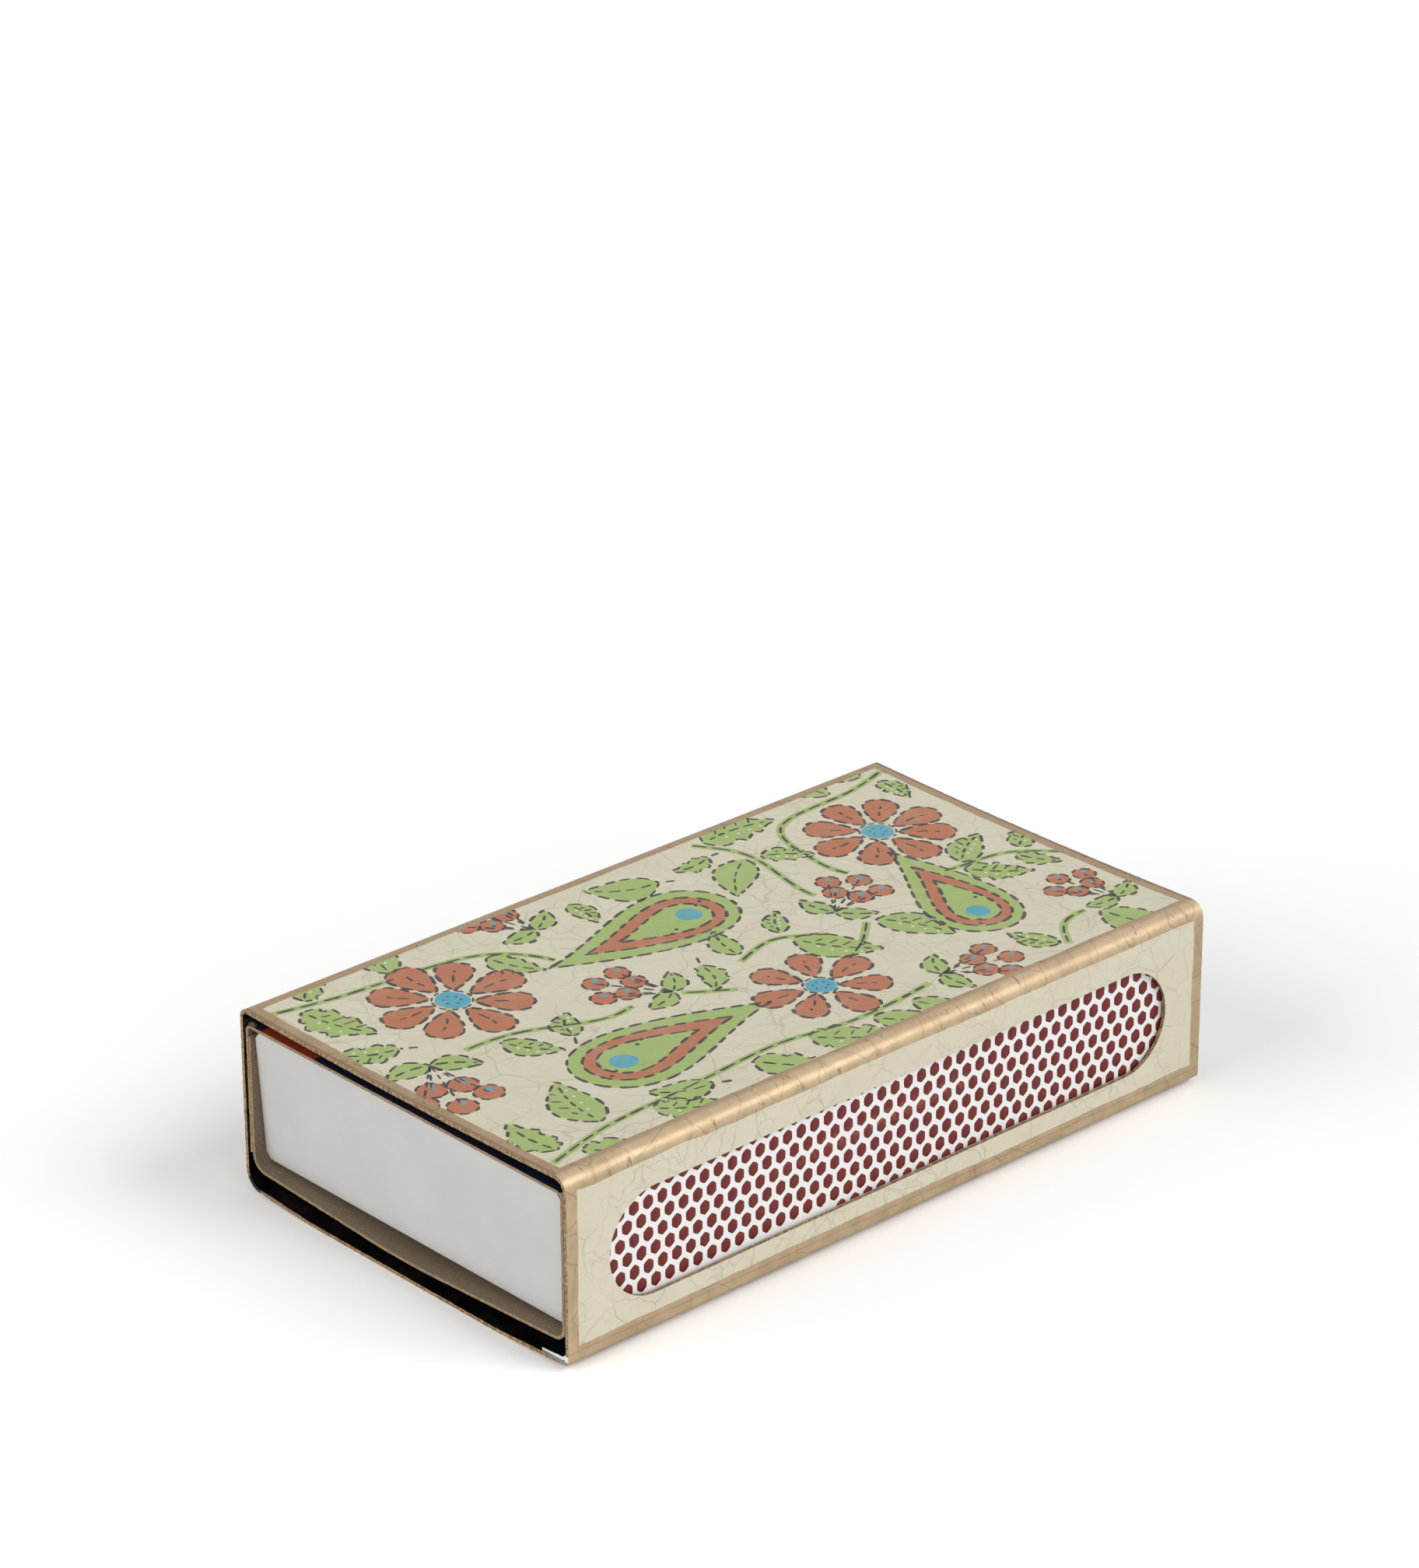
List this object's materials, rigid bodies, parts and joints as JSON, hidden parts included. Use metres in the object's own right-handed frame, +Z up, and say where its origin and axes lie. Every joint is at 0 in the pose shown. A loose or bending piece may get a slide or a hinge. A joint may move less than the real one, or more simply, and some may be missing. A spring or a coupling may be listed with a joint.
{
  "type": "match holder",
  "caption": "Flat folded metal holder, open at both ends, with a window over the striking side of the card match box that slides in it",
  "frame": {"origin": "under the middle of the holder, on the surface that it stands on", "axes": "+Z up; +Y along the holder to its back end, -Y is the open end seen in front; +X points out of the window in the side wall"},
  "size_m": [0.0676, 0.12, 0.0285],
  "materials": {
    "holder_sheet": "thin sheet under printed, crackled cream paper with gold-painted edges, black inside",
    "sleeve_card": "folded card, navy and red print outside, white striking side with maroon dots, bare brown inside",
    "tray_card": "folded card, white coated outside, bare brown inside",
    "match_wood": "plain sticks with maroon heads"
  },
  "bodies": {
    "holder": {"holder_shell": "holder_sheet"},
    "sleeve": {"matchbox_sleeve": "sleeve_card"},
    "tray": {"matchbox_tray": "tray_card", "match_stack": "match_wood", "match_01": "match_wood", "match_02": "match_wood", "match_03": "match_wood", "match_04": "match_wood", "match_05": "match_wood", "match_06": "match_wood", "match_07": "match_wood", "match_08": "match_wood", "match_09": "match_wood", "match_10": "match_wood", "match_11": "match_wood", "match_12": "match_wood", "match_13": "match_wood", "match_14": "match_wood", "match_15": "match_wood", "match_16": "match_wood", "match_17": "match_wood", "match_18": "match_wood", "match_19": "match_wood", "match_20": "match_wood", "match_21": "match_wood", "match_22": "match_wood", "match_23": "match_wood", "match_24": "match_wood", "match_25": "match_wood", "match_26": "match_wood", "match_27": "match_wood", "match_28": "match_wood", "match_29": "match_wood", "match_30": "match_wood", "match_31": "match_wood", "match_32": "match_wood", "match_33": "match_wood", "match_34": "match_wood"}
  },
  "joints": [
    {"name": "match_box_slide", "type": "slide", "parent": "holder", "child": "sleeve", "axis": [0, -1, 0], "range_m": [-0.122, 0.122]},
    {"name": "tray_slide", "type": "slide", "parent": "sleeve", "child": "tray", "axis": [0, -1, 0], "range_m": [-0.095, 0.095]}
  ]
}
